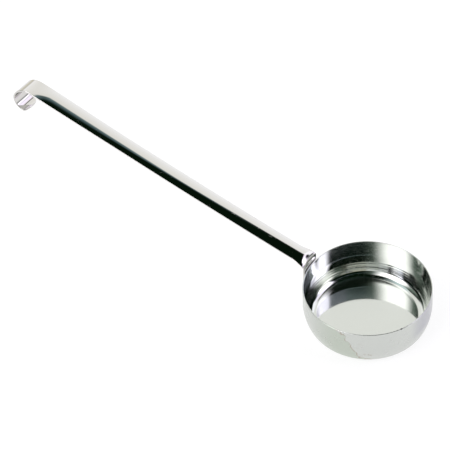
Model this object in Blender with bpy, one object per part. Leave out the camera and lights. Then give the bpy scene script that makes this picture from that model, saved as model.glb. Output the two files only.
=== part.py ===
"""Sauce ladle: a shallow deep-drawn cup and a pressed strip handle, joined by three spot welds.

Metres, +Z up. The origin is the middle of the cup's base, on its underside, and the handle runs
towards +X. The whole ladle is symmetric about the plane Y = 0.
"""
import math
from collections import namedtuple

import bmesh
import bpy
from mathutils import Matrix, Vector

# The cup, measured on its outside
CUP_DIAMETER = 0.100        # at the rim
CUP_HEIGHT = 0.0350
CUP_WALL = 0.0010
CUP_CORNER_RADIUS = 0.0088  # between the flat base and the belly
CUP_CORNER_TURN = math.radians(70.0)
CUP_BELLY_RADIUS = 0.0400   # the slacker curve that runs from the corner up into the wall
CUP_WALL_LEAN = math.radians(-1.1)  # from upright; below zero the cup closes in towards its rim
CUP_RIM_ROUNDING = 0.0004   # deburred edge, inside and outside

# The strip that the handle is pressed from
STRIP_THICKNESS = 0.0015
STRIP_EDGE_ROUNDING = 0.0004
GRIP_WIDTH = 0.0156
HOOK_WIDTH = 0.0171
TAB_WIDTH = 0.0198
TAB_FLARE_LENGTH = 0.0110   # along the grip, from the tab's width to the grip's
HOOK_FLARE_LENGTH = 0.0950  # along the grip, from the grip's width to the hook's

# The grip: its edges run in a shallow bow, and its section arches up between them
GRIP_LENGTH = 0.2670        # from the corner over the tab's face to the hook's start
GRIP_RISE_ANGLE = math.radians(19.2)
GRIP_BOW = 0.0017           # how far the grip's middle hangs below a straight line
GRIP_ABOVE_RIM = 0.0064     # height over the rim at which the edges would meet the tab's face
CROWN_HEIGHT = 0.0018       # how far the ridge stands above the edges
CROWN_RUN_IN = 0.0060       # along the strip, from the fold's start to the full crown
CROWN_RUN_OUT = 0.0220      # along the strip, from the full crown to the flat end
CROWN_PAST_HOOK_START = 0.0040  # where the crown has run out

# The hook: the flat end of the strip, rolled over a wide shoulder and back under the grip
HOOK_SHOULDER_RADIUS = 0.0172
HOOK_SHOULDER_TURN = math.radians(76.0)
HOOK_CURL_RADIUS = 0.0101
HOOK_CURL_TURN = math.radians(132.0)
TIP_BULGE = 0.0020          # how far the tip's middle stands beyond its corners
TIP_CORNER_RADIUS = 0.0022

# The tab: folded down from the grip and wrapped round the cup's wall
TAB_FOLD_RADIUS = 0.0030
TAB_BELOW_RIM = 0.0135
TAB_CORNER_RADIUS = 0.0065
TAB_BULGE = 0.0010
SEAM_GAP = 0.0003           # between the tab and the wall

# The spot welds: a lens of fused metal across the seam, in a hollow in each sheet
NUGGET_DIAMETER = 0.0030
NUGGET_THICKNESS = 0.0009
NUGGET_CLEARANCE = 0.0003
WELD_SPREAD = 0.0146        # between the two upper welds, round the wall
UPPER_WELD_BELOW_RIM = 0.0027
LOWER_WELD_BELOW_RIM = 0.0059

# How finely round shapes are divided
CUP_SIDES = 96
CORNER_STEPS = 7
BELLY_STEPS = 4
ROUNDING_STEPS = 3
STRIP_LANES = 12            # lanes across the strip, between its rounded edges
HOOK_STEPS = 28
FOLD_STEPS = 8
FLARE_STEPS = 8
GRIP_STEPS = 24
RUN_OUT_STEPS = 6
END_STEPS = 5
NUGGET_SIDES = 20
NUGGET_RINGS = 10
SCREW_MERGE_DISTANCE = 0.00001

SMOOTH_SHADING_ANGLE = math.radians(35.0)

# Finishes: a colour and a roughness for each
STEEL_COLOUR = (0.62, 0.62, 0.60, 1.0)
WELD_COLOUR = (0.40, 0.39, 0.38, 1.0)
CUP_ROUGHNESS = 0.25
HANDLE_ROUGHNESS = 0.12
WELD_ROUGHNESS = 0.5


def steel(name, colour, roughness):
    """A plain steel for one piece."""
    material = bpy.data.materials.new(name)
    material.use_nodes = True
    shader = material.node_tree.nodes["Principled BSDF"]
    shader.inputs["Base Color"].default_value = colour
    shader.inputs["Metallic"].default_value = 1.0
    shader.inputs["Roughness"].default_value = roughness
    return material


def new_piece(name, mesh, material, parent):
    """Put a mesh in the scene as one named piece with its own material."""
    piece = bpy.data.objects.new(name, mesh)
    piece.data.materials.append(material)
    piece.parent = parent
    bpy.context.scene.collection.objects.link(piece)
    return piece


def arc(centre, radius, first, last, steps):
    """Points on an arc in the plane of the profile, both ends included."""
    points = []
    for step in range(steps + 1):
        angle = first + (last - first) * step / steps
        points.append((centre[0] + radius * math.cos(angle), centre[1] + radius * math.sin(angle)))
    return points


def smooth_step(share):
    """Ease from 0 to 1 with level ends."""
    share = min(max(share, 0.0), 1.0)
    return share * share * (3.0 - 2.0 * share)


def rounding_loss(distance, radius):
    """How much a rounded edge takes off, at a distance in from the edge."""
    if distance >= radius:
        return 0.0
    return radius - math.sqrt(max(radius ** 2 - (radius - distance) ** 2, 0.0))


def wall_radius(height):
    """The outer radius of the straight wall at a height over the base."""
    return CUP_DIAMETER / 2 - (CUP_HEIGHT - height) * math.tan(CUP_WALL_LEAN)


def belly_top():
    """The height over the base at which the belly runs out into the straight wall."""
    corner_rise = CUP_CORNER_RADIUS * (1.0 - math.cos(CUP_CORNER_TURN))
    belly_rise = CUP_BELLY_RADIUS * (math.cos(CUP_CORNER_TURN) - math.sin(CUP_WALL_LEAN))
    return corner_rise + belly_rise


def corner_and_belly(depth):
    """The curve from the flat base up to the straight wall, at a depth below the outer face."""
    top = belly_top()
    belly_middle = (wall_radius(top) - CUP_BELLY_RADIUS * math.cos(CUP_WALL_LEAN),
                    top + CUP_BELLY_RADIUS * math.sin(CUP_WALL_LEAN))
    between_middles = CUP_BELLY_RADIUS - CUP_CORNER_RADIUS
    corner_middle = (belly_middle[0] + between_middles * math.sin(CUP_CORNER_TURN), CUP_CORNER_RADIUS)
    meeting = CUP_CORNER_TURN - math.pi / 2
    corner = arc(corner_middle, CUP_CORNER_RADIUS - depth, -math.pi / 2, meeting, CORNER_STEPS)
    belly = arc(belly_middle, CUP_BELLY_RADIUS - depth, meeting, -CUP_WALL_LEAN, BELLY_STEPS)
    return corner + belly[1:]


def cup_profile():
    """The cup's section from the axis under the base, out, up over the rim and back to the axis."""
    rim_radius = CUP_DIAMETER / 2
    top = CUP_HEIGHT - CUP_RIM_ROUNDING
    outer_rim = (rim_radius - CUP_RIM_ROUNDING, top)
    inner_rim = (rim_radius - CUP_WALL + CUP_RIM_ROUNDING, top)
    points = [(0.0, 0.0)]
    points += corner_and_belly(0.0)
    points += arc(outer_rim, CUP_RIM_ROUNDING, -CUP_WALL_LEAN, math.pi / 2, ROUNDING_STEPS)
    points += arc(inner_rim, CUP_RIM_ROUNDING, math.pi / 2, math.pi - CUP_WALL_LEAN, ROUNDING_STEPS)
    points += reversed(corner_and_belly(CUP_WALL))
    points.append((0.0, CUP_WALL))
    return points


def make_cup(material, parent):
    """Turn the section round the axis with a Screw modifier."""
    # The Screw modifier wants a profile that runs down its outer side, so the section is reversed.
    profile = list(reversed(cup_profile()))
    mesh = bpy.data.meshes.new("cup")
    edges = [(number, number + 1) for number in range(len(profile) - 1)]
    mesh.from_pydata([(radius, 0.0, height) for radius, height in profile], edges, [])
    cup = new_piece("cup", mesh, material, parent)
    turn = cup.modifiers.new("turn", "SCREW")
    turn.angle = math.tau
    turn.steps = CUP_SIDES
    turn.render_steps = CUP_SIDES
    turn.use_merge_vertices = True
    turn.merge_threshold = SCREW_MERGE_DISTANCE
    return cup


# One stretch of the strip: where it starts along the strip, how long it is, its first point and
# heading, and its radius, which is None on a straight stretch
Run = namedtuple("Run", ("start", "length", "point", "heading", "radius"))


class StripPath:
    """The middle of the strip's thickness, seen from the side, from the tab's end to the hook's tip.

    Distances run along the strip. A direction is an angle from +X towards +Z.
    """

    def __init__(self):
        half = STRIP_THICKNESS / 2
        lean = CUP_WALL_LEAN
        bow_radius = GRIP_LENGTH ** 2 / (8 * GRIP_BOW)
        first_rise = GRIP_RISE_ANGLE - GRIP_LENGTH / (2 * bow_radius)
        fold_turn = math.pi / 2 - lean - first_rise
        fold_radius = TAB_FOLD_RADIUS - half
        setback = fold_radius * math.tan(fold_turn / 2)
        corner = self.corner_over_tab(first_rise)
        tab_foot = CUP_HEIGHT - TAB_BELOW_RIM
        tab_length = (corner[1] - tab_foot) / math.cos(lean)
        self.runs = []
        self.end = (corner[0] - tab_length * math.sin(lean), tab_foot)
        self.heading = math.pi / 2 - lean
        self.add_run(tab_length - setback, None)
        self.fold_start = self.length()
        self.add_run(fold_radius * fold_turn, fold_radius)
        self.fold_end = self.length()
        self.add_run(GRIP_LENGTH - setback, -bow_radius)
        self.hook_start = self.length()
        shoulder_radius = HOOK_SHOULDER_RADIUS - half
        curl_radius = HOOK_CURL_RADIUS - half
        self.add_run(shoulder_radius * HOOK_SHOULDER_TURN, shoulder_radius)
        self.add_run(curl_radius * HOOK_CURL_TURN, curl_radius)

    def corner_over_tab(self, rise_angle):
        """Where the middle lines of the tab and of the grip would meet without the fold's radius."""
        half = STRIP_THICKNESS / 2
        lean = CUP_WALL_LEAN
        face = CUP_DIAMETER / 2 + SEAM_GAP
        middle_at_rim = CUP_DIAMETER / 2 + (SEAM_GAP + half) / math.cos(lean)
        slope = math.tan(rise_angle)
        grip_middle = GRIP_ABOVE_RIM - half / math.cos(rise_angle)
        height = (grip_middle + slope * (middle_at_rim - face)) / (1.0 - slope * math.tan(lean))
        return middle_at_rim + height * math.tan(lean), CUP_HEIGHT + height

    def add_run(self, length, radius):
        """Add a straight run, or a bend: to the right, or to the left where the radius is negative."""
        self.runs.append(Run(self.length(), length, self.end, self.heading, radius))
        self.end, self.heading = self.along_run(self.runs[-1], length)

    def length(self):
        return self.runs[-1].start + self.runs[-1].length if self.runs else 0.0

    def along_run(self, run, distance):
        """The point and heading at a distance into one run."""
        x, z = run.point
        heading, radius = run.heading, run.radius
        if radius is None:
            return (x + distance * math.cos(heading), z + distance * math.sin(heading)), heading
        turned = heading - distance / radius
        x += radius * (math.sin(heading) - math.sin(turned))
        z -= radius * (math.cos(heading) - math.cos(turned))
        return (x, z), turned

    def at(self, distance):
        """The point and heading at a distance along the whole strip."""
        run = self.runs[0]
        for candidate in self.runs:
            if distance >= candidate.start:
                run = candidate
        return self.along_run(run, distance - run.start)


def half_width(path, distance):
    """Half the strip's width: the grip's, easing out to the tab's and to the hook's at its ends."""
    tab_flare = path.fold_end + TAB_FLARE_LENGTH - path.fold_start
    to_tab = 1.0 - smooth_step((distance - path.fold_start) / tab_flare)
    to_hook = smooth_step(1.0 - (path.hook_start - distance) / HOOK_FLARE_LENGTH)
    return (GRIP_WIDTH + (TAB_WIDTH - GRIP_WIDTH) * to_tab + (HOOK_WIDTH - GRIP_WIDTH) * to_hook) / 2


def crown(path, distance):
    """How far the ridge stands above the edges: nothing on the tab, and nothing in most of the hook."""
    leaves_tab = smooth_step((distance - path.fold_start) / CROWN_RUN_IN)
    before_flat_end = path.hook_start + CROWN_PAST_HOOK_START - distance
    return CROWN_HEIGHT * leaves_tab * smooth_step(before_flat_end / CROWN_RUN_OUT)


def wrap(path, distance):
    """How far the section follows the round wall: wholly on the tab, not at all on the grip."""
    return 1.0 - smooth_step((distance - path.fold_start) / (path.fold_end - path.fold_start))


def end_setback(across, half, bulge, corner):
    """How far a rounded end lies back from its middle, at a place across the strip."""
    from_edge = half - abs(across)
    return bulge * (across / half) ** 2 + rounding_loss(from_edge, corner)


def edge_insets():
    """Distances in from a cut edge over its rounding, outermost first."""
    return [STRIP_EDGE_ROUNDING * (1.0 - math.sin(math.pi / 2 * step / ROUNDING_STEPS))
            for step in range(ROUNDING_STEPS, 0, -1)]


def strip_lanes(half):
    """Places across the strip: close together over the rounded edges, even between them."""
    inner = half - STRIP_EDGE_ROUNDING
    even = [-inner + 2.0 * inner * lane / STRIP_LANES for lane in range(STRIP_LANES + 1)]
    left = [-half + inset for inset in edge_insets()]
    right = [half - inset for inset in reversed(edge_insets())]
    return left + even + right


def strip_stations(path):
    """Distances along the strip where a section is placed, from the tab's end to the hook's tip."""
    tab_end = TAB_CORNER_RADIUS + TAB_BULGE + 2.0 * STRIP_EDGE_ROUNDING
    tip_end = path.length() - TIP_CORNER_RADIUS - TIP_BULGE - 2.0 * STRIP_EDGE_ROUNDING
    flare_end = path.fold_end + TAB_FLARE_LENGTH
    full_crown_end = path.hook_start + CROWN_PAST_HOOK_START - CROWN_RUN_OUT
    stretches = ((tab_end, path.fold_start, END_STEPS),
                 (path.fold_start, path.fold_end, FOLD_STEPS),
                 (path.fold_end, flare_end, FLARE_STEPS),
                 (flare_end, full_crown_end, GRIP_STEPS),
                 (full_crown_end, path.hook_start, RUN_OUT_STEPS),
                 (path.hook_start, tip_end, HOOK_STEPS))
    stations = [start + (stop - start) * step / steps
                for start, stop, steps in stretches
                for step in range(steps)]
    return stations + [tip_end]


def sheet_point(path, distance, across, half):
    """The middle of the sheet at one place, and the direction of its upper face there."""
    (x, z), heading = path.at(distance)
    upper = Vector((-math.sin(heading), 0.0, math.cos(heading)))
    wrapped = wrap(path, distance)
    rise = crown(path, distance)
    round_radius = wall_radius(min(z, CUP_HEIGHT)) + SEAM_GAP + STRIP_THICKNESS / 2
    angle = across / round_radius
    side = (1.0 - wrapped) * across + wrapped * round_radius * math.sin(angle)
    height = wrapped * round_radius * (1.0 - math.cos(angle)) + rise * (1.0 - (across / half) ** 2)
    side_slope = (1.0 - wrapped) + wrapped * math.cos(angle)
    height_slope = wrapped * math.sin(angle) - 2.0 * rise * across / half ** 2
    normal = Vector((0.0, -height_slope, 0.0)) + upper * side_slope
    point = Vector((x, side, z)) + upper * height
    return point, normal.normalized()


def strip_column(path, lane_share, stations, total):
    """One lane's places from end to end, as (distance, inset from the nearer end)."""
    tip_half = half_width(path, total)
    tab_half = half_width(path, 0.0)
    tip_stop = total - end_setback(lane_share * tip_half, tip_half, TIP_BULGE, TIP_CORNER_RADIUS)
    tab_stop = end_setback(lane_share * tab_half, tab_half, TAB_BULGE, TAB_CORNER_RADIUS)
    tab_flat = tab_stop + STRIP_EDGE_ROUNDING
    tip_flat = tip_stop - STRIP_EDGE_ROUNDING
    first, last = stations[0], stations[-1]
    column = [tab_stop + inset for inset in edge_insets()]
    column += [tab_flat + (first - tab_flat) * step / END_STEPS for step in range(END_STEPS)]
    column += stations
    column += [last + (tip_flat - last) * step / END_STEPS for step in range(1, END_STEPS + 1)]
    column += [tip_stop - inset for inset in reversed(edge_insets())]
    return [(distance, min(distance - tab_stop, tip_stop - distance)) for distance in column]


def make_handle(material, parent):
    """Lay a grid of lanes and sections over the strip, with an upper and a lower face."""
    path = StripPath()
    total = path.length()
    stations = strip_stations(path)
    lanes = strip_lanes(GRIP_WIDTH / 2)
    build = bmesh.new()
    upper, lower = [], []
    for lane in range(len(lanes)):
        top_row, bottom_row = [], []
        share = lanes[lane] / (GRIP_WIDTH / 2)
        for distance, end_inset in strip_column(path, share, stations, total):
            half = half_width(path, distance)
            across = strip_lanes(half)[lane]
            middle, normal = sheet_point(path, distance, across, half)
            loss = rounding_loss(min(half - abs(across), end_inset), STRIP_EDGE_ROUNDING)
            reach = STRIP_THICKNESS / 2 - loss
            top_row.append(build.verts.new(middle + normal * reach))
            bottom_row.append(build.verts.new(middle - normal * reach))
        upper.append(top_row)
        lower.append(bottom_row)
    last_lane = len(lanes) - 1
    last_row = len(upper[0]) - 1
    for lane in range(last_lane):
        for row in range(last_row):
            build.faces.new((upper[lane][row], upper[lane][row + 1],
                             upper[lane + 1][row + 1], upper[lane + 1][row]))
            build.faces.new((lower[lane][row], lower[lane + 1][row],
                             lower[lane + 1][row + 1], lower[lane][row + 1]))
        for row in (0, last_row):
            build.faces.new((upper[lane][row], upper[lane + 1][row], lower[lane + 1][row], lower[lane][row]))
    for row in range(last_row):
        for lane in (0, last_lane):
            build.faces.new((upper[lane][row], lower[lane][row], lower[lane][row + 1], upper[lane][row + 1]))
    bmesh.ops.recalc_face_normals(build, faces=build.faces)
    mesh = bpy.data.meshes.new("handle")
    build.to_mesh(mesh)
    build.free()
    return new_piece("handle", mesh, material, parent)


def lens_mesh(name, diameter, thickness):
    """A flattened ball, thin along X, for a weld nugget or for its hollow."""
    build = bmesh.new()
    bmesh.ops.create_uvsphere(build, u_segments=NUGGET_SIDES, v_segments=NUGGET_RINGS, radius=0.5)
    shape = Matrix.Diagonal((diameter, diameter, thickness, 1.0))
    lie_on_wall = Matrix.Rotation(math.pi / 2, 4, "Y")
    build.transform(lie_on_wall @ shape)
    mesh = bpy.data.meshes.new(name)
    build.to_mesh(mesh)
    build.free()
    return mesh


def weld_placement(round_wall, below_rim):
    """The place of a weld in the middle of the seam, turned to face along the wall's normal."""
    height = CUP_HEIGHT - below_rim
    seam_radius = wall_radius(height) + SEAM_GAP / 2
    azimuth = round_wall / seam_radius
    place = Matrix.Translation((seam_radius * math.cos(azimuth), seam_radius * math.sin(azimuth), height))
    return place @ Matrix.Rotation(azimuth, 4, "Z") @ Matrix.Rotation(CUP_WALL_LEAN, 4, "Y")


def make_weld(name, round_wall, below_rim, sheets, material, parent):
    """Add one nugget, and cut its hollow into both sheets."""
    placement = weld_placement(round_wall, below_rim)
    nugget = new_piece(name, lens_mesh(name, NUGGET_DIAMETER, NUGGET_THICKNESS), material, parent)
    nugget.matrix_world = placement
    hollow_size = (NUGGET_DIAMETER + 2 * NUGGET_CLEARANCE, NUGGET_THICKNESS + 2 * NUGGET_CLEARANCE)
    cutter = new_piece(name + "_hollow", lens_mesh(name + "_hollow", *hollow_size), material, parent)
    cutter.matrix_world = placement
    cutter.hide_render = True
    cutter.display_type = "WIRE"
    for sheet in sheets:
        cut = sheet.modifiers.new(name + "_hollow", "BOOLEAN")
        cut.operation = "DIFFERENCE"
        cut.solver = "EXACT"
        cut.object = cutter
    return nugget


def clear_scene():
    for piece in list(bpy.data.objects):
        bpy.data.objects.remove(piece)


def main():
    clear_scene()
    ladle = bpy.data.objects.new("ladle", None)
    bpy.context.scene.collection.objects.link(ladle)
    cup = make_cup(steel("cup_steel", STEEL_COLOUR, CUP_ROUGHNESS), ladle)
    handle = make_handle(steel("handle_steel", STEEL_COLOUR, HANDLE_ROUGHNESS), ladle)
    weld_steel = steel("weld_steel", WELD_COLOUR, WELD_ROUGHNESS)
    sheets = (cup, handle)
    make_weld("spot_weld_left", WELD_SPREAD / 2, UPPER_WELD_BELOW_RIM, sheets, weld_steel, ladle)
    make_weld("spot_weld_right", -WELD_SPREAD / 2, UPPER_WELD_BELOW_RIM, sheets, weld_steel, ladle)
    make_weld("spot_weld_lower", 0.0, LOWER_WELD_BELOW_RIM, sheets, weld_steel, ladle)
    for piece in bpy.data.objects:
        if piece.type == "MESH":
            piece.data.shade_smooth()
            piece.data.set_sharp_from_angle(angle=SMOOTH_SHADING_ANGLE)


main()
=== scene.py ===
# %% [markdown]
# A sauce ladle for a professional kitchen: a shallow steel cup, deep drawn from one disc, and a handle
# pressed from one strip and spot welded to the cup's wall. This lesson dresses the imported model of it.
# The frame comes first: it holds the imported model, and every piece below has to fit that.

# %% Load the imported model
import math
from collections import namedtuple

import bmesh
import bpy
from mathutils import Matrix, Vector


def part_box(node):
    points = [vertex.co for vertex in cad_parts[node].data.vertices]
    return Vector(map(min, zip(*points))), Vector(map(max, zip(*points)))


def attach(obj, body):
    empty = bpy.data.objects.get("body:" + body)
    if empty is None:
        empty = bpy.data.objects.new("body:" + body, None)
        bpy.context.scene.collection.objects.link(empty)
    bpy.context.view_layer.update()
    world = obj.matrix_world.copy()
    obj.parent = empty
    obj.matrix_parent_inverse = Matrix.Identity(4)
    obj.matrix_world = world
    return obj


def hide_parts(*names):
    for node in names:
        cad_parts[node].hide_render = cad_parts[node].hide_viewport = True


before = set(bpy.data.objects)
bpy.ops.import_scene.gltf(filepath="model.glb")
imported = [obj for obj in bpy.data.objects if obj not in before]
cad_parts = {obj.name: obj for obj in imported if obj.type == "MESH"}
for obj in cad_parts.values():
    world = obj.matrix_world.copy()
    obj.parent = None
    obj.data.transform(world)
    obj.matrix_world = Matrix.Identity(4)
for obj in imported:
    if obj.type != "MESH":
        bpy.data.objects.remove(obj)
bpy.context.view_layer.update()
cup_low, cup_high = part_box("cup")


def short(values):
    """The same numbers with four decimals, for printing."""
    return [round(value, 4) for value in values]


def in_mm(length):
    """A length in millimetres with one decimal, for printing."""
    return round(length * 1000, 1)


def new_object(name, data):
    """An object at the origin, in the scene."""
    made = bpy.data.objects.new(name, data)
    bpy.context.scene.collection.objects.link(made)
    return made


print("nodes:", ", ".join(sorted(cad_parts)))
print("cup from", short(cup_low), "to", short(cup_high))

# %% [markdown]
# The camera stands where the photographer stood: above the table, at the cup's end, with the handle
# running away to the left. A long lens keeps the cup's rim and the hook at nearly the same scale. The view
# is written as the direction from the object to the camera, a roll of the camera about that direction,
# and the place of the rim's centre in the view, so that turning one of them never moves the others.

# %% Place the camera
VIEW_TURN = math.radians(216.13)
VIEW_HEIGHT = math.radians(43.15)
VIEW_ROLL = math.radians(6.82)
VIEW_REACH = 20.0
RIM_RIGHT = 0.109581
RIM_DOWN = 0.047254
RIM_AWAY = 0.854483
SENSOR_WIDTH = 36.0
IMAGE_WIDTH = 450
FOCAL_PIXELS = 1108.2

rim_centre = Vector((0.0, 0.0, cup_high.z))


def view_axes():
    """The view's right, down and away directions in the object's frame."""
    level = math.cos(VIEW_HEIGHT)
    back = Vector((math.sin(VIEW_TURN) * level, -math.cos(VIEW_TURN) * level, math.sin(VIEW_HEIGHT)))
    away = -back
    right = away.cross(Vector((0.0, 0.0, 1.0))).normalized()
    down = away.cross(right)
    turned_right = right * math.cos(VIEW_ROLL) + down * math.sin(VIEW_ROLL)
    turned_down = down * math.cos(VIEW_ROLL) - right * math.sin(VIEW_ROLL)
    return turned_right, turned_down, away


def place_camera():
    """A camera that sees the rim's centre at its place in the photograph's frame."""
    right, down, away = view_axes()
    lens = bpy.data.cameras.new("camera")
    lens.sensor_width = SENSOR_WIDTH
    lens.lens = SENSOR_WIDTH * FOCAL_PIXELS / IMAGE_WIDTH
    lens.clip_end = VIEW_REACH
    made = new_object("camera", lens)
    turn = Matrix((right, -down, -away)).transposed().to_4x4()
    place = rim_centre - right * RIM_RIGHT - down * RIM_DOWN - away * RIM_AWAY
    made.matrix_world = Matrix.Translation(place) @ turn
    return made


camera = place_camera()
bpy.context.scene.camera = camera
print("camera at", short(camera.matrix_world.translation), "with a lens of", round(camera.data.lens, 2), "mm")

# %% [markdown]
# The cup is a shape with a rule: one section, turned round an axis. A Screw modifier or a spun bmesh
# would make it too, but Geometry Nodes keep each size as a named input. The section is a polyline of
# fourteen points, out along the base, up over the rim and back, and a Fillet Curve node rounds its
# corners. A grid is then wrapped round the axis: its columns read their radius and height from the
# rounded section, and its rows are the steps of the turn.

# %% Sizes of the cup
CUP_RADIUS = 0.0500
CUP_HEIGHT = cup_high.z
CUP_WALL = 0.0010
CUP_WALL_LEAN = math.radians(-1.1)
RIM_HOLD_SHARE = 1.5
MERGE_DISTANCE = 1e-6

CUP_INPUTS = {
    "Radius": CUP_RADIUS,
    "Height": CUP_HEIGHT,
    "Wall": CUP_WALL,
    "Wall Lean": CUP_WALL_LEAN,
    "Belly Radius": 0.0400,
    "Belly Turn": math.radians(20.0),
    "Corner Radius": 0.0088,
    "Rim Rounding": 0.0004,
    "Holding Gap": 0.0002,
    "Sides": 288,
    "Corner Steps": 16,
}
print("the cup is", in_mm(2 * CUP_RADIUS), "mm across the rim and", in_mm(CUP_HEIGHT), "mm high")

# %% Helpers for building node trees
# A Mix node has sockets of its own for each kind of value: factor, first, second and result.
MIX_SOCKETS = {"FLOAT": (0, 2, 3, 0), "RGBA": (0, 6, 7, 2)}


class Tree:
    """A short way to add nodes to a node tree and to link them."""

    def __init__(self, node_tree):
        self.node_tree = node_tree

    def add(self, kind, settings=None, **inputs):
        """Add a node, set its properties, and give its inputs values or links by their names."""
        node = self.node_tree.nodes.new(kind)
        for key, value in (settings or {}).items():
            setattr(node, key, value)
        for key, value in inputs.items():
            self.feed(node, key.replace("_", " "), value)
        return node

    def feed(self, node, key, value):
        """Give one input of a node a value, or a link from another node or from its socket."""
        socket = node.inputs[key]
        if isinstance(value, bpy.types.Node):
            value = value.outputs[0]
        if isinstance(value, bpy.types.NodeSocket):
            self.node_tree.links.new(value, socket)
        elif socket.type == "RGBA":
            socket.default_value = (*value, 1.0)
        else:
            socket.default_value = value

    def math(self, operation, *values):
        """The result of a Math node with up to three values or links."""
        node = self.add("ShaderNodeMath", {"operation": operation})
        for number, value in enumerate(values):
            self.feed(node, number, value)
        return node.outputs[0]

    def plus(self, first, second):
        """The sum of two values or links."""
        return self.math("ADD", first, second)

    def minus(self, first, second):
        """The first value or link less the second."""
        return self.math("SUBTRACT", first, second)

    def times(self, first, *others):
        """Several values or links multiplied together."""
        for other in others:
            first = self.math("MULTIPLY", first, other)
        return first

    def vector_math(self, operation, *values):
        """A Vector Math node with up to three vectors or links."""
        node = self.add("ShaderNodeVectorMath", {"operation": operation})
        for number, value in enumerate(values):
            self.feed(node, number, value)
        return node

    def mix(self, factor, first, second, kind="RGBA"):
        """A colour between two colours, or a number between two numbers."""
        node = self.add("ShaderNodeMix", {"data_type": kind})
        *sockets, result = MIX_SOCKETS[kind]
        for number, value in zip(sockets, (factor, first, second)):
            self.feed(node, number, value)
        return node.outputs[result]

    def attribute(self, name):
        """A number that the mesh carries at each point."""
        return self.add("ShaderNodeAttribute", {"attribute_name": name}).outputs["Fac"]

    def mark_points(self, geometry, name, value):
        """Store a number at each point of a geometry."""
        return self.add("GeometryNodeStoreNamedAttribute", {"data_type": "FLOAT", "domain": "POINT"},
                        Geometry=geometry, Name=name, Value=value)


# %% Trees with named sizes, and the plain meshes they make
def add_socket(node_tree, name, kind, in_out="INPUT"):
    """An input or an output of a node tree, for one kind of value."""
    return node_tree.interface.new_socket(name=name, in_out=in_out, socket_type="NodeSocket" + kind)


def geometry_tree(name, inputs):
    """A Geometry Nodes tree with a Geometry input and output, and a named input for each size."""
    node_tree = bpy.data.node_groups.new(name, "GeometryNodeTree")
    add_socket(node_tree, "Geometry", "Geometry")
    for label, value in inputs.items():
        kind = "Int" if isinstance(value, int) else "Float"
        add_socket(node_tree, label, kind).default_value = value
    add_socket(node_tree, "Material", "Material")
    add_socket(node_tree, "Geometry", "Geometry", "OUTPUT")
    return node_tree


def plain_mesh_from_nodes(name, start_mesh, node_tree, inputs, material):
    """Run a tree on a start mesh, and return its result as a plain mesh object with no modifier."""
    maker = new_object(name + "_maker", start_mesh)
    modifier = maker.modifiers.new("nodes", "NODES")
    modifier.node_group = node_tree
    values = {**inputs, "Material": material}
    for socket in node_tree.interface.items_tree:
        if socket.in_out == "INPUT" and socket.name in values:
            modifier[socket.identifier] = values[socket.name]
    graph = bpy.context.evaluated_depsgraph_get()
    mesh = bpy.data.meshes.new_from_object(maker.evaluated_get(graph), depsgraph=graph)
    mesh.name = name
    maker.modifiers.clear()
    bpy.data.objects.remove(maker)
    return new_object(name, mesh)


def triangle_count(piece):
    """How many triangles a piece's mesh has."""
    return sum(len(face.vertices) - 2 for face in piece.data.polygons)


# %% The corners of the cup's section
def wall_at(tree, size, height, inset):
    """The wall's radius at a height, at a depth below the outer face."""
    below_rim = tree.minus(size["Height"], height)
    leant = tree.times(below_rim, tree.math("TANGENT", size["Wall Lean"]))
    outer = tree.minus(size["Radius"], leant)
    return tree.minus(outer, tree.math("DIVIDE", inset, tree.math("COSINE", size["Wall Lean"])))


def turned_in_corners(tree, size, inset):
    """The two corners of the section's outline, at a depth below the outer face, before they are rounded.

    The first lies between the floor and the belly's slope, and the second between that slope and the wall.
    Also gives where the roundings leave the floor and the wall.
    """
    slope = size["Belly Turn"]
    lean = size["Wall Lean"]
    corner_radius = tree.minus(size["Corner Radius"], inset)
    belly_radius = tree.minus(size["Belly Radius"], inset)
    corner_half_turn = tree.times(tree.minus(math.pi / 2, slope), 0.5)
    belly_half_turn = tree.times(tree.minus(slope, lean), 0.5)
    corner_tangent = tree.times(corner_radius, tree.math("TANGENT", corner_half_turn))
    belly_tangent = tree.times(belly_radius, tree.math("TANGENT", belly_half_turn))
    length = tree.plus(corner_tangent, belly_tangent)
    upper_height = tree.math("MULTIPLY_ADD", length, tree.math("COSINE", slope), inset)
    upper_radius = wall_at(tree, size, upper_height, inset)
    lower_radius = tree.minus(upper_radius, tree.times(length, tree.math("SINE", slope)))
    floor_edge = tree.minus(lower_radius, corner_tangent)
    wall_foot = tree.math("MULTIPLY_ADD", belly_tangent, tree.math("COSINE", lean), upper_height)
    corner = (lower_radius, inset, corner_radius)
    belly = (upper_radius, upper_height, belly_radius)
    return corner, belly, floor_edge, wall_foot


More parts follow.
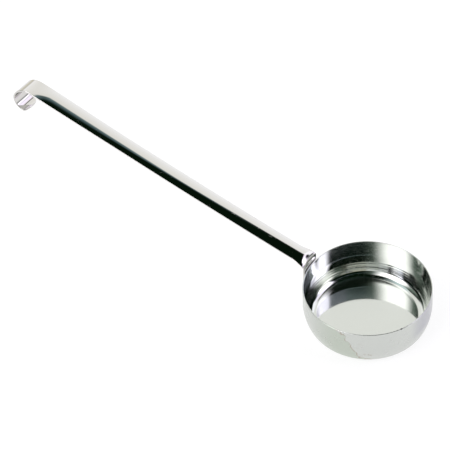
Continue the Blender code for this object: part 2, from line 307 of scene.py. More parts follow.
def section_points(tree, size):
    """The section from the axis under the base, out, up over the rim and back: (radius, height, fillet).

    A plain point close beside each fillet holds the stretch next to it flat, so that the smooth shading
    of the rounded corner doesn't spread over the whole floor or wall.
    """
    wall = size["Wall"]
    top = size["Height"]
    gap = size["Holding Gap"]
    rounding = size["Rim Rounding"]
    outer_corner, outer_belly, floor_edge, outer_foot = turned_in_corners(tree, size, 0.0)
    inner_corner, inner_belly, _, inner_foot = turned_in_corners(tree, size, wall)
    floor_hold = tree.minus(floor_edge, gap)
    outer_hold = tree.plus(outer_foot, gap)
    inner_hold = tree.plus(inner_foot, gap)
    rim_hold = tree.minus(top, tree.times(rounding, RIM_HOLD_SHARE))

    def on_wall(height, inset, fillet=0.0):
        """A point of the wall, at a depth below the outer face."""
        return wall_at(tree, size, height, inset), height, fillet

    return [
        (0.0, 0.0, 0.0),
        (floor_hold, 0.0, 0.0),
        outer_corner,
        outer_belly,
        on_wall(outer_hold, 0.0),
        on_wall(rim_hold, 0.0),
        on_wall(top, 0.0, rounding),
        on_wall(top, wall, rounding),
        on_wall(rim_hold, wall),
        on_wall(inner_hold, wall),
        inner_belly,
        inner_corner,
        (floor_hold, wall, 0.0),
        (0.0, wall, 0.0),
    ]


# %% The tree that turns the section round an axis
def switch_by_index(tree, kind, values):
    """A field that gives the first value to point 0, the next to point 1, and so on."""
    switch = tree.add("GeometryNodeIndexSwitch", {"data_type": kind})
    while len(switch.index_switch_items) < len(values):
        switch.index_switch_items.new()
    tree.feed(switch, "Index", tree.add("GeometryNodeInputIndex"))
    for number, value in enumerate(values):
        tree.feed(switch, number + 1, value)
    return switch


def rounded_section(tree, size):
    """The section as a curve in the plane through the axis, with its corners rounded."""
    points = section_points(tree, size)
    places = [tree.add("ShaderNodeCombineXYZ", X=radius, Z=height) for radius, height, _ in points]
    fillets = [fillet for _, _, fillet in points]
    line = tree.add("GeometryNodeMeshLine", Count=len(points))
    placed = tree.add("GeometryNodeSetPosition", Geometry=line,
                      Position=switch_by_index(tree, "VECTOR", places))
    sharp = tree.add("GeometryNodeMeshToCurve", Mesh=placed)
    return tree.add("GeometryNodeFilletCurve", {"mode": "POLY"}, Curve=sharp, Count=size["Corner Steps"],
                    Radius=switch_by_index(tree, "FLOAT", fillets))


def turned_sheet_tree():
    """Turn a rounded section of sheet metal round the Z axis."""
    node_tree = geometry_tree("turned sheet", CUP_INPUTS)
    tree = Tree(node_tree)
    size = tree.add("NodeGroupInput").outputs
    section = rounded_section(tree, size)
    columns = tree.add("GeometryNodeAttributeDomainSize", {"component": "CURVE"}, Geometry=section).outputs[0]
    rows = tree.plus(size["Sides"], 1.0)
    grid = tree.add("GeometryNodeMeshGrid", Vertices_X=columns, Vertices_Y=rows)
    # Half a step is added to the index, so that rounding never picks the column before.
    index = tree.add("GeometryNodeInputIndex").outputs[0]
    column = tree.math("FLOOR", tree.math("DIVIDE", tree.plus(index, 0.5), rows))
    row = tree.minus(index, tree.times(column, rows))
    read = tree.add("GeometryNodeSampleIndex", {"data_type": "FLOAT_VECTOR"}, Geometry=section,
                    Value=tree.add("GeometryNodeInputPosition"), Index=column)
    parts = tree.add("ShaderNodeSeparateXYZ", Vector=read).outputs
    angle = tree.times(tree.math("DIVIDE", row, size["Sides"]), math.tau)
    around = tree.add("ShaderNodeCombineXYZ",
                      X=tree.times(parts["X"], tree.math("COSINE", angle)),
                      Y=tree.times(parts["X"], tree.math("SINE", angle)),
                      Z=parts["Z"])
    turned = tree.add("GeometryNodeSetPosition", Geometry=grid, Position=around)
    # The first half of the section is the cup's outside, and the second half its inside.
    inside = tree.math("GREATER_THAN", column, tree.times(columns, 0.5))
    marked = tree.mark_points(turned, "inside", inside)
    closed = tree.add("GeometryNodeMergeByDistance", Geometry=marked, Distance=MERGE_DISTANCE)
    outward = tree.add("GeometryNodeFlipFaces", Mesh=closed)
    smooth = tree.add("GeometryNodeSetShadeSmooth", Geometry=outward)
    real = tree.add("GeometryNodeRealizeInstances", Geometry=smooth)
    finished = tree.add("GeometryNodeSetMaterial", Geometry=real, Material=size["Material"])
    tree.add("NodeGroupOutput", Geometry=finished)
    return node_tree


# %% [markdown]
# Every finish below is built from a few fields: noise, and fades from 0 to 1 as a value passes a place.
# An image would need its own mapping and would blur in a close view, and fields of real sizes don't. A
# pattern of noise is written as its waves to the metre along each axis, its detail, and a shift that
# picks another stretch of it. An edge is a pair: its place, and the width over which it fades.

# %% Helpers for fades and marks in a material
Pattern = namedtuple("Pattern", "waves detail shift")


def fade_between(tree, value, place, fade, first, last):
    """An eased step from the first number to the last, centred on a place."""
    half = tree.times(fade, 0.5)
    step = tree.add("ShaderNodeMapRange", {"interpolation_type": "SMOOTHSTEP"}, Value=value,
                    From_Min=tree.minus(place, half), From_Max=tree.plus(place, half),
                    To_Min=first, To_Max=last)
    return step.outputs[0]


def fade_in(tree, value, place, fade):
    """From 0 to 1 as a value passes a place, eased over the width of the fade."""
    return fade_between(tree, value, place, fade, 0.0, 1.0)


def fade_out(tree, value, place, fade):
    """From 1 to 0 as a value passes a place, eased over the width of the fade."""
    return fade_between(tree, value, place, fade, 1.0, 0.0)


def noise(tree, place, pattern):
    """Cloudy noise from 0 to 1, with its middle at a half."""
    spread = tree.vector_math("MULTIPLY_ADD", place, pattern.waves, (pattern.shift,) * 3)
    return tree.add("ShaderNodeTexNoise", Vector=spread, Scale=1.0, Detail=pattern.detail).outputs["Fac"]


def line_where(tree, value, level, width):
    """A thin line where a field passes a level: 1 on the line, 0 away from it."""
    away = tree.math("ABSOLUTE", tree.minus(value, level))
    return fade_out(tree, away, width, width)


def bump(tree, height, depth, before=None):
    """Relief of a real depth in metres, laid over any relief before it."""
    node = tree.add("ShaderNodeBump", Height=height, Distance=depth, Strength=1.0)
    if before is not None:
        tree.feed(node, "Normal", before)
    return node


def new_metal(name, colour):
    """A metal of one plain colour, and the tree to finish it in."""
    material = bpy.data.materials.new(name)
    material.use_nodes = True
    shader = material.node_tree.nodes["Principled BSDF"]
    tree = Tree(material.node_tree)
    tree.feed(shader, "Base Color", colour)
    tree.feed(shader, "Metallic", 1.0)
    return material, tree, shader


# %% [markdown]
# The cup's steel has four finishes. The floor inside keeps the bright face of the sheet, and mirrors the
# wall sharply. The wall was drawn down past the die, which leaves faint upright streaks, and spoons have
# dulled it towards the rim. The corner between them was pressed last and keeps fine rings. Outside, the
# cup is satin, with dried water marks. One shader holds all four: the mesh carries an attribute that
# tells inside from outside, and the height and bearing of a point tell the rest.

# %% Where a point lies on the cup
def cup_places(tree):
    """The point itself, its parts, its bearing round the cup, and whether it is inside."""
    place = tree.add("ShaderNodeTexCoord").outputs["Object"]
    parts = tree.add("ShaderNodeSeparateXYZ", Vector=place).outputs
    bearing = tree.math("ARCTAN2", parts["Y"], parts["X"])
    return place, parts, bearing, tree.attribute("inside")


# %% The dried drop on the outside
# Bearings and their fades are in radians. The drop's edge slants by so much bearing over a metre of height.
DROP_START = (math.radians(72.0), 0.70)
DROP_EDGE_BEARING = math.radians(95.5)
DROP_EDGE_HEIGHT = 0.028
DROP_EDGE_SLANT = math.radians(12.5) / 0.014
DROP_EDGE_WANDER = Pattern(waves=(130.0, 130.0, 130.0), detail=4.0, shift=3.5)
DROP_EDGE_WOBBLE = 0.42
DROP_EDGE_FADE = 0.03
DROP_LINE_WIDTH = 0.014
DROP_LINE_PATCHES = Pattern(waves=(160.0, 160.0, 160.0), detail=1.0, shift=6.0)
DROP_LINE_PATCH_EDGE = (0.44, 0.20)
SPLASHES = Pattern(waves=(120.0, 120.0, 170.0), detail=2.0, shift=12.0)
SPLASH_LEVEL = 0.50
SPLASH_LINE_WIDTH = 0.012
SPLASHES_START = (0.02, 0.02)
SPLASHES_STOP = (0.16, 0.08)


def dried_drop(tree, place, height, bearing, outside):
    """Where a drop ran down the outside and dried: the film it left, and the brown line at its edge."""
    slant = tree.times(tree.minus(DROP_EDGE_HEIGHT, height), DROP_EDGE_SLANT)
    wander = tree.minus(noise(tree, place, DROP_EDGE_WANDER), 0.5)
    edge = tree.math("MULTIPLY_ADD", wander, DROP_EDGE_WOBBLE, tree.plus(slant, DROP_EDGE_BEARING))
    past_edge = tree.minus(bearing, edge)
    before_edge = fade_out(tree, past_edge, 0.0, DROP_EDGE_FADE)
    film = tree.times(before_edge, fade_in(tree, bearing, *DROP_START), outside)
    patchy = fade_in(tree, noise(tree, place, DROP_LINE_PATCHES), *DROP_LINE_PATCH_EDGE)
    line = tree.times(line_where(tree, past_edge, 0.0, DROP_LINE_WIDTH), patchy, outside)
    splash = line_where(tree, noise(tree, place, SPLASHES), SPLASH_LEVEL, SPLASH_LINE_WIDTH)
    beside = tree.times(fade_in(tree, past_edge, *SPLASHES_START),
                        fade_out(tree, past_edge, *SPLASHES_STOP), outside)
    return film, tree.math("MAXIMUM", line, tree.times(splash, beside, patchy))


# %% The cloud inside, the painted shade outside, and the nick in the rim
CLOUD_START = (math.radians(-1.0), 0.16)
CLOUD_STOP = (math.radians(42.0), 0.30)
CLOUD_FOOT = (0.0160, 0.0150)
# The painted shade outside starts at a place along X, and it rises from a foot. Each has a fade.
PAINTED_SHADE_START = (-0.0482, 0.0060)
PAINTED_SHADE_FOOT = (0.0150, 0.0120)
NICK_BEARING = math.radians(146.5)
NICK_RADIUS = 0.0007


def finger_cloud(tree, height, bearing, inside):
    """Where fingers clouded the inside of the wall, beside the handle."""
    beside = tree.times(fade_in(tree, bearing, *CLOUD_START), fade_out(tree, bearing, *CLOUD_STOP))
    return tree.times(beside, fade_in(tree, height, *CLOUD_FOOT), inside)


def painted_far_shade(tree, from_axis, height, outside):
    """Painted shade: the outside darkened to lavender-grey where it mirrors the table, at the end farthest
    from the handle.
    """
    return tree.times(fade_out(tree, from_axis, *PAINTED_SHADE_START), fade_in(tree, height, *PAINTED_SHADE_FOOT), outside)


def rim_nick(tree, place):
    """A dark nick on the rim's near edge."""
    nick = (CUP_RADIUS * math.cos(NICK_BEARING), CUP_RADIUS * math.sin(NICK_BEARING), CUP_HEIGHT)
    away = tree.vector_math("DISTANCE", place, nick).outputs["Value"]
    return fade_out(tree, away, NICK_RADIUS, NICK_RADIUS)


# %% The relief of the cup's steel
STREAKS = Pattern(waves=(1800.0, 1800.0, 60.0), detail=2.0, shift=0.0)
STREAK_DEPTH = 0.0000006
STREAKS_FOOT = (0.0022, 0.0016)
RING_SPACING = 0.0022
RING_DEPTH = 0.000026
RINGS_FOOT = (0.0050, 0.0024)
RINGS_TOP = (0.0115, 0.0050)
SATIN_LINES = Pattern(waves=(60.0, 60.0, 3200.0), detail=2.0, shift=0.0)
SATIN_DEPTH = 0.0000010


def cup_relief(tree, place, height, inside, outside):
    """Upright streaks on the wall, rings in the corner, and the satin's fine lines outside."""
    streaks = tree.times(noise(tree, place, STREAKS), inside, fade_in(tree, height, *STREAKS_FOOT))
    ring_waves = tree.math("SINE", tree.times(height, math.tau / RING_SPACING))
    ring_zone = tree.times(inside, fade_in(tree, height, *RINGS_FOOT), fade_out(tree, height, *RINGS_TOP))
    satin = tree.times(noise(tree, place, SATIN_LINES), outside)
    relief = bump(tree, streaks, STREAK_DEPTH)
    relief = bump(tree, tree.times(ring_waves, ring_zone), RING_DEPTH, relief)
    return bump(tree, satin, SATIN_DEPTH, relief)


# %% How rough the cup's steel is
# Fine grain is hazed where its noise passes a level, so the lower the level, the more of it is hazed.
CLEAN_ROUGHNESS = 0.055
HAZE_ROUGHNESS = 0.38
HAZE_GRAIN = Pattern(waves=(4200.0, 4200.0, 4200.0), detail=0.0, shift=0.0)
HAZE_FADE = 0.03
FLOOR_HAZE_LEVEL = 0.69
WALL_HAZE_LEVEL = 0.92
NEAR_RIM_HAZE_LEVEL = 0.70
CLOUD_HAZE_LEVEL = 0.53
WALL_FOOT = (0.0025, 0.0020)
WORN_EDGE = (0.0270, 0.0160)
SATIN_ROUGHNESS = 0.21
SMEAR_ROUGHNESS = 0.10
SMEARS = Pattern(waves=(140.0, 140.0, 140.0), detail=4.0, shift=9.0)


def inner_roughness(tree, place, height, cloud):
    """Bright steel with hazed grain: hardly any low on the wall, some near the rim, most in the cloud."""
    worn_level = fade_between(tree, height, *WORN_EDGE, WALL_HAZE_LEVEL, NEAR_RIM_HAZE_LEVEL)
    clouding = tree.minus(CLOUD_HAZE_LEVEL, worn_level)
    worn_level = tree.math("MULTIPLY_ADD", cloud, clouding, worn_level)
    on_wall = fade_in(tree, height, *WALL_FOOT)
    over_floor = tree.times(tree.minus(worn_level, FLOOR_HAZE_LEVEL), on_wall)
    level = tree.plus(over_floor, FLOOR_HAZE_LEVEL)
    hazed = fade_in(tree, noise(tree, place, HAZE_GRAIN), level, HAZE_FADE)
    return tree.math("MULTIPLY_ADD", hazed, HAZE_ROUGHNESS - CLEAN_ROUGHNESS, CLEAN_ROUGHNESS)


def outer_roughness(tree, place):
    """Satin steel, rougher where it is smeared."""
    return tree.math("MULTIPLY_ADD", noise(tree, place, SMEARS), SMEAR_ROUGHNESS, SATIN_ROUGHNESS)


# %% The cup's steel
CUP_COLOUR = (0.61, 0.63, 0.60)
FILM_COLOUR = (0.520, 0.565, 0.495)
FILM_SHARE = 0.9
STAIN_COLOUR = (0.42, 0.37, 0.31)
STAIN_SHARE = 0.8
PAINTED_SHADE_COLOUR = (0.46, 0.46, 0.50)
CLOUD_COLOUR = (0.56, 0.61, 0.66)
NICK_COLOUR = (0.05, 0.04, 0.05)


def make_cup_steel():
    """Bright inside and satin outside, with the marks of drawing and of use, and a painted shade outside."""
    material, tree, shader = new_metal("cup steel", CUP_COLOUR)
    place, parts, bearing, inside = cup_places(tree)
    height = parts["Z"]
    outside = tree.minus(1.0, inside)
    film, line = dried_drop(tree, place, height, bearing, outside)
    cloud = finger_cloud(tree, height, bearing, inside)
    tint = tree.mix(tree.times(film, FILM_SHARE), CUP_COLOUR, FILM_COLOUR)
    tint = tree.mix(tree.times(line, STAIN_SHARE), tint, STAIN_COLOUR)
    # Painted shade: the outside turns a darker lavender-grey at the end farthest from the handle.
    tint = tree.mix(painted_far_shade(tree, parts["X"], height, outside), tint, PAINTED_SHADE_COLOUR)
    tint = tree.mix(cloud, tint, CLOUD_COLOUR)
    tree.feed(shader, "Base Color", tree.mix(rim_nick(tree, place), tint, NICK_COLOUR))
    inner = inner_roughness(tree, place, height, cloud)
    tree.feed(shader, "Roughness", tree.mix(inside, outer_roughness(tree, place), inner, "FLOAT"))
    tree.feed(shader, "Normal", cup_relief(tree, place, height, inside, outside))
    return material


cup_steel = make_cup_steel()
print("the cup's steel has", len(cup_steel.node_tree.nodes), "nodes")

# %% Turn the cup
start_mesh = bpy.data.meshes.new("empty")
cup = plain_mesh_from_nodes("drawn_cup", start_mesh, turned_sheet_tree(), CUP_INPUTS, cup_steel)
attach(cup, "root")
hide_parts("cup")
print("cup:", triangle_count(cup), "triangles, from", short(cup.bound_box[0]), "to", short(cup.bound_box[6]))

# %% [markdown]
# The handle is one strip of steel. Its middle line, seen from the side, is a few stretches: the tab that
# lies on the cup's wall, a tight fold, a long grip in a shallow bow, and a hook of two radii. A curve with
# a bevel keeps one section all along, and this strip's changes, so the strip is laid as a grid of points,
# each placed by its distance along the strip and its place across it.

# %% Sizes of the strip
STRIP_THICKNESS = 0.0015
STRIP_EDGE_ROUNDING = 0.0004
GRIP_WIDTH = 0.0156
HOOK_WIDTH = 0.0171
TAB_WIDTH = 0.0198
TAB_FLARE_LENGTH = 0.0110
HOOK_FLARE_LENGTH = 0.0950
GRIP_LENGTH = 0.2670
GRIP_RISE_ANGLE = math.radians(19.2)
GRIP_BOW = 0.0017
GRIP_ABOVE_RIM = 0.0064
CROWN_HEIGHT = 0.0018
CROWN_RUN_IN = 0.0060
CROWN_RUN_OUT = 0.0220
CROWN_PAST_HOOK_START = 0.0040
HOOK_SHOULDER_RADIUS = 0.0172
HOOK_SHOULDER_TURN = math.radians(76.0)
HOOK_CURL_RADIUS = 0.0101
HOOK_CURL_TURN = math.radians(132.0)
TIP_BULGE = 0.0020
TIP_CORNER_RADIUS = 0.0022
TAB_FOLD_RADIUS = 0.0030
TAB_BELOW_RIM = 0.0135
TAB_CORNER_RADIUS = 0.0065
TAB_BULGE = 0.0010
SEAM_GAP = 0.0003
HALF_SHEET = STRIP_THICKNESS / 2


# %% The middle line of the strip
def wall_radius(height):
    """The outer radius of the cup's wall at a height over its base."""
    return CUP_RADIUS - (CUP_HEIGHT - height) * math.tan(CUP_WALL_LEAN)


class StripPath:
    """The middle of the strip's thickness, seen from the side, from the tab's end to the hook's tip."""

    def __init__(self):
        bow_radius = GRIP_LENGTH ** 2 / (8 * GRIP_BOW)
        first_rise = GRIP_RISE_ANGLE - GRIP_LENGTH / (2 * bow_radius)
        fold_turn = math.pi / 2 - CUP_WALL_LEAN - first_rise
        fold_radius = TAB_FOLD_RADIUS - HALF_SHEET
        setback = fold_radius * math.tan(fold_turn / 2)
        corner = self.corner_over_tab(first_rise)
        tab_foot = CUP_HEIGHT - TAB_BELOW_RIM
        tab_length = (corner[1] - tab_foot) / math.cos(CUP_WALL_LEAN)
        self.runs = []
        self.end = (corner[0] - tab_length * math.sin(CUP_WALL_LEAN), tab_foot)
        self.heading = math.pi / 2 - CUP_WALL_LEAN
        self.length = 0.0
        self.add_run(tab_length - setback, None)
        self.fold_start = self.length
        self.add_run(fold_radius * fold_turn, fold_radius)
        self.fold_end = self.length
        self.add_run(GRIP_LENGTH - setback, -bow_radius)
        self.hook_start = self.length
        for radius, turn in ((HOOK_SHOULDER_RADIUS, HOOK_SHOULDER_TURN), (HOOK_CURL_RADIUS, HOOK_CURL_TURN)):
            middle_radius = radius - HALF_SHEET
            self.add_run(middle_radius * turn, middle_radius)

    def corner_over_tab(self, rise_angle):
        """Where the middle lines of the tab and of the grip would meet without the fold's radius."""
        lean = math.tan(CUP_WALL_LEAN)
        slope = math.tan(rise_angle)
        middle_at_rim = CUP_RADIUS + (SEAM_GAP + HALF_SHEET) / math.cos(CUP_WALL_LEAN)
        grip_middle = GRIP_ABOVE_RIM - HALF_SHEET / math.cos(rise_angle)
        past_seam = middle_at_rim - CUP_RADIUS - SEAM_GAP
        height = (grip_middle + slope * past_seam) / (1.0 - slope * lean)
        return middle_at_rim + height * lean, CUP_HEIGHT + height

    def add_run(self, length, radius):
        """Add a straight run, or a bend: to the right, or to the left where the radius is negative."""
        self.runs.append((self.length, self.end, self.heading, radius))
        self.end, self.heading = self.along_run(self.runs[-1], length)
        self.length += length

    def along_run(self, run, distance):
        """The point and heading at a distance into one run."""
        start, (x, z), heading, radius = run
        if radius is None:
            return (x + distance * math.cos(heading), z + distance * math.sin(heading)), heading
        turned = heading - distance / radius
        x += radius * (math.sin(heading) - math.sin(turned))
        z -= radius * (math.cos(heading) - math.cos(turned))
        return (x, z), turned

    def at(self, distance):
        """The point and heading at a distance along the whole strip."""
        run = self.runs[0]
        for candidate in self.runs:
            if distance >= candidate[0]:
                run = candidate
        return self.along_run(run, distance - run[0])


path = StripPath()
print("the strip is", in_mm(path.length), "mm long when flat")


# %% The section of the strip
def smooth_step(share):
    """Ease from 0 to 1 with level ends."""
    share = min(max(share, 0.0), 1.0)
    return share * share * (3.0 - 2.0 * share)


def half_width(distance):
    """Half the strip's width: the grip's, easing out to the tab's and to the hook's at its ends."""
    tab_flare = path.fold_end + TAB_FLARE_LENGTH - path.fold_start
    to_tab = 1.0 - smooth_step((distance - path.fold_start) / tab_flare)
    to_hook = smooth_step(1.0 - (path.hook_start - distance) / HOOK_FLARE_LENGTH)
    return (GRIP_WIDTH + (TAB_WIDTH - GRIP_WIDTH) * to_tab + (HOOK_WIDTH - GRIP_WIDTH) * to_hook) / 2


def crown(distance):
    """How far the ridge stands above the edges: nothing at the fold, and nothing past the hook's start."""
    leaves_tab = smooth_step((distance - path.fold_start) / CROWN_RUN_IN)
    before_end = path.hook_start + CROWN_PAST_HOOK_START - distance
    return CROWN_HEIGHT * leaves_tab * smooth_step(before_end / CROWN_RUN_OUT)


def wrap(distance):
    """How far the section follows the round wall: wholly on the tab, not at all on the grip."""
    return 1.0 - smooth_step((distance - path.fold_start) / (path.fold_end - path.fold_start))


def rounding_loss(inset, radius):
    """How much a rounded edge takes off, at a distance in from the edge."""
    if inset >= radius:
        return 0.0
    return radius - math.sqrt(max(radius ** 2 - (radius - inset) ** 2, 0.0))


def end_setback(across, half, bulge, corner):
    """How far a rounded end lies back from its middle, at a place across the strip."""
    return bulge * (across / half) ** 2 + rounding_loss(half - abs(across), corner)


def sheet_point(distance, across, half):
    """The middle of the sheet at one place, and the direction of its upper face there."""
    (x, z), heading = path.at(distance)
    upper = Vector((-math.sin(heading), 0.0, math.cos(heading)))
    wrapped = wrap(distance)
    rise = crown(distance)
    round_radius = wall_radius(min(z, CUP_HEIGHT)) + SEAM_GAP + HALF_SHEET
    angle = across / round_radius
    side = (1.0 - wrapped) * across + wrapped * round_radius * math.sin(angle)
    height = wrapped * round_radius * (1.0 - math.cos(angle)) + rise * (1.0 - (across / half) ** 2)
    side_slope = (1.0 - wrapped) + wrapped * math.cos(angle)
    height_slope = wrapped * math.sin(angle) - 2.0 * rise * across / half ** 2
    normal = Vector((0.0, -height_slope, 0.0)) + upper * side_slope
    return Vector((x, side, z)) + upper * height, normal.normalized()


print("it is", in_mm(2 * half_width(0.0)), "mm wide at the tab and",
      in_mm(2 * half_width(path.length)), "mm at the hook")


# %% Where the grid's lanes and rows lie
EDGE_STEPS = 5
EDGE_HOLDING_GAP = 0.0001
FACE_INSET = STRIP_EDGE_ROUNDING + 2 * EDGE_HOLDING_GAP
LANES = 28
TAB_ROWS = 10
FOLD_ROWS = 20
FLARE_ROWS = 14
GRIP_ROWS = 90
HOOK_ROWS = 90
END_ROWS = 10


def edge_insets():
    """Distances in from an edge, close together over its rounding, outermost first.

    The last one lies just inside the rounding, and holds the face beside it flat.
    """
    turns = [math.pi / 2 * step / EDGE_STEPS for step in range(EDGE_STEPS + 1)]
    rounded = [STRIP_EDGE_ROUNDING * (1.0 - math.cos(turn)) for turn in turns]
    return rounded + [STRIP_EDGE_ROUNDING + EDGE_HOLDING_GAP]


def lanes_across(half):
    """Places across the strip, from one edge to the other."""
    insets = edge_insets()
    inner = half - FACE_INSET
    even = [-inner + 2.0 * inner * lane / LANES for lane in range(LANES + 1)]
    return [inset - half for inset in insets] + even + [half - inset for inset in reversed(insets)]


def full_rows():
    """Distances along the strip where a whole section is placed."""
    first = TAB_CORNER_RADIUS + TAB_BULGE + 2 * FACE_INSET
    last = path.length - TIP_CORNER_RADIUS - TIP_BULGE - 2 * FACE_INSET
    flare_end = path.fold_end + TAB_FLARE_LENGTH
    stretches = [(first, path.fold_start, TAB_ROWS), (path.fold_start, path.fold_end, FOLD_ROWS),
                 (path.fold_end, flare_end, FLARE_ROWS), (flare_end, path.hook_start, GRIP_ROWS),
                 (path.hook_start, last, HOOK_ROWS)]
    rows = []
    for start, stop, count in stretches:
        rows += [start + (stop - start) * step / count for step in range(count)]
    return rows + [last]


def lane_rows(share, rows):
    """One lane's rows as (distance, inset from the end): whole sections, and its own steps into the ends."""
    tab_half = half_width(0.0)
    tip_half = half_width(path.length)
    tab_stop = end_setback(share * tab_half, tab_half, TAB_BULGE, TAB_CORNER_RADIUS)
    tip_stop = path.length - end_setback(share * tip_half, tip_half, TIP_BULGE, TIP_CORNER_RADIUS)
    tab_edge = [tab_stop + inset for inset in edge_insets()]
    tip_edge = [tip_stop - inset for inset in reversed(edge_insets())]
    tab_inner = tab_stop + FACE_INSET
    tip_inner = tip_stop - FACE_INSET
    start = [tab_inner + (rows[0] - tab_inner) * step / END_ROWS for step in range(END_ROWS)]
    finish = [rows[-1] + (tip_inner - rows[-1]) * (step + 1) / END_ROWS for step in range(END_ROWS)]
    along = tab_edge + start + rows + finish + tip_edge
    return [(distance, min(distance - tab_stop, tip_stop - distance)) for distance in along]


print("its grid has", len(lanes_across(GRIP_WIDTH / 2)), "lanes and", len(full_rows()), "whole sections")


# %% Lay the grid over the strip
def strip_faces(build):
    """The grids of points of the upper and of the lower face, each point with its place on the strip."""
    along_layer = build.verts.layers.float.new("along")
    across_layer = build.verts.layers.float.new("across")
    rows = full_rows()
    shares = [across / (GRIP_WIDTH / 2) for across in lanes_across(GRIP_WIDTH / 2)]
    upper, lower = [], []
    for lane, share in enumerate(shares):
        top_row, bottom_row = [], []
        for distance, end_inset in lane_rows(share, rows):
            half = half_width(distance)
            across = lanes_across(half)[lane]
            middle, normal = sheet_point(distance, across, half)
            inset = min(half - abs(across), end_inset)
            reach = HALF_SHEET - rounding_loss(inset, STRIP_EDGE_ROUNDING)
            for row, side in ((top_row, reach), (bottom_row, -reach)):
                corner = build.verts.new(middle + normal * side)
                corner[along_layer] = distance
                corner[across_layer] = across
                row.append(corner)
        upper.append(top_row)
        lower.append(bottom_row)
    return upper, lower


def join_faces(build, upper, lower):
    """Fill both grids with quads, and close the cut edge between them."""
    last_lane = len(upper) - 1
    last_row = len(upper[0]) - 1
    for lane in range(last_lane):
        beside = lane + 1
        for row in range(last_row):
            after = row + 1
            build.faces.new((upper[lane][row], upper[lane][after], upper[beside][after], upper[beside][row]))
            build.faces.new((lower[lane][row], lower[beside][row], lower[beside][after], lower[lane][after]))
        for row in (0, last_row):
            build.faces.new((upper[lane][row], upper[beside][row], lower[beside][row], lower[lane][row]))
    for row in range(last_row):
        after = row + 1
        for lane in (0, last_lane):
            build.faces.new((upper[lane][row], lower[lane][row], lower[lane][after], upper[lane][after]))
    bmesh.ops.recalc_face_normals(build, faces=build.faces)


def make_handle(material):
    """The strip as one closed mesh."""
    build = bmesh.new()
    upper, lower = strip_faces(build)
    join_faces(build, upper, lower)
    mesh = bpy.data.meshes.new("pressed_handle")
    build.to_mesh(mesh)
    build.free()
    mesh.shade_smooth()
    mesh.materials.append(material)
    return new_object("pressed_handle", mesh)


# %% [markdown]
# The strip is polished steel, brighter than the cup. Its finish follows the strip through the bends, so
# the mesh carries two attributes, the distance along the strip and the place across it, and the shader
# reads those. Belt polishing leaves fine lines along the strip, and handling leaves dull smudges and a few
# curved scratches, which show where the strip mirrors a dark room.

# %% The handle's steel
HANDLE_COLOUR = (0.64, 0.63, 0.61)
POLISH_ROUGHNESS = 0.035
SMUDGE_ROUGHNESS = 0.30
SMUDGES = Pattern(waves=(160.0, 420.0, 1.0), detail=4.0, shift=2.0)
SMUDGE_EDGE = (0.68, 0.10)
SMUDGE_SHARE = 0.6
SCRATCHES = Pattern(waves=(34.0, 150.0, 1.0), detail=0.0, shift=7.0)
SCRATCH_LEVEL = 0.5
SCRATCH_WIDTH = 0.004
SCRATCHED_PATCHES = Pattern(waves=(20.0, 60.0, 1.0), detail=0.0, shift=5.0)
SCRATCHED_EDGE = (0.60, 0.06)
POLISH_LINES = Pattern(waves=(25.0, 5200.0, 1.0), detail=2.0, shift=0.0)
POLISH_DEPTH = 0.0000006
SHALLOW_WAVES = Pattern(waves=(14.0, 30.0, 1.0), detail=1.0, shift=3.0)
WAVE_DEPTH = 0.000012


def make_handle_steel():
    """Bright belt-polished steel with smudges and scratches."""
    material, tree, shader = new_metal("handle steel", HANDLE_COLOUR)
    place = tree.add("ShaderNodeCombineXYZ", X=tree.attribute("along"), Y=tree.attribute("across"))
    smudges = fade_in(tree, noise(tree, place, SMUDGES), *SMUDGE_EDGE)
    scratches = tree.times(line_where(tree, noise(tree, place, SCRATCHES), SCRATCH_LEVEL, SCRATCH_WIDTH),
                           fade_in(tree, noise(tree, place, SCRATCHED_PATCHES), *SCRATCHED_EDGE))
    worn = tree.math("MAXIMUM", tree.times(smudges, SMUDGE_SHARE), scratches)
    roughness = tree.math("MULTIPLY_ADD", worn, SMUDGE_ROUGHNESS - POLISH_ROUGHNESS, POLISH_ROUGHNESS)
    tree.feed(shader, "Roughness", roughness)
    relief = bump(tree, noise(tree, place, POLISH_LINES), POLISH_DEPTH)
    tree.feed(shader, "Normal", bump(tree, noise(tree, place, SHALLOW_WAVES), WAVE_DEPTH, relief))
    return material


# %% Press the handle
handle_steel = make_handle_steel()
handle = make_handle(handle_steel)
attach(handle, "root")
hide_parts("handle")
print("handle:", triangle_count(handle), "triangles")

# %% [markdown]
# Three spot welds hold the tab to the wall. Copper electrodes squeezed the two sheets, and the current
# melted a nugget between them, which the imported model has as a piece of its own. On each outer face the
# electrode left a small round mark with a purple-brown heat tint. All six marks are one flattened ball,
# put at each weld by a node tree and turned to face away from the cup's axis.

# %% The welds' steel
HEAT_TINT = (0.13, 0.085, 0.135)
HEAT_EDGE = (0.50, 0.40)
MOTTLE = Pattern(waves=(1500.0, 1500.0, 1500.0), detail=3.0, shift=0.0)
MOTTLE_SHARE = 0.5
MOTTLE_DEPTH = 0.000003
UNHEATED_ROUGHNESS = 0.10
HEATED_ROUGHNESS = 0.40


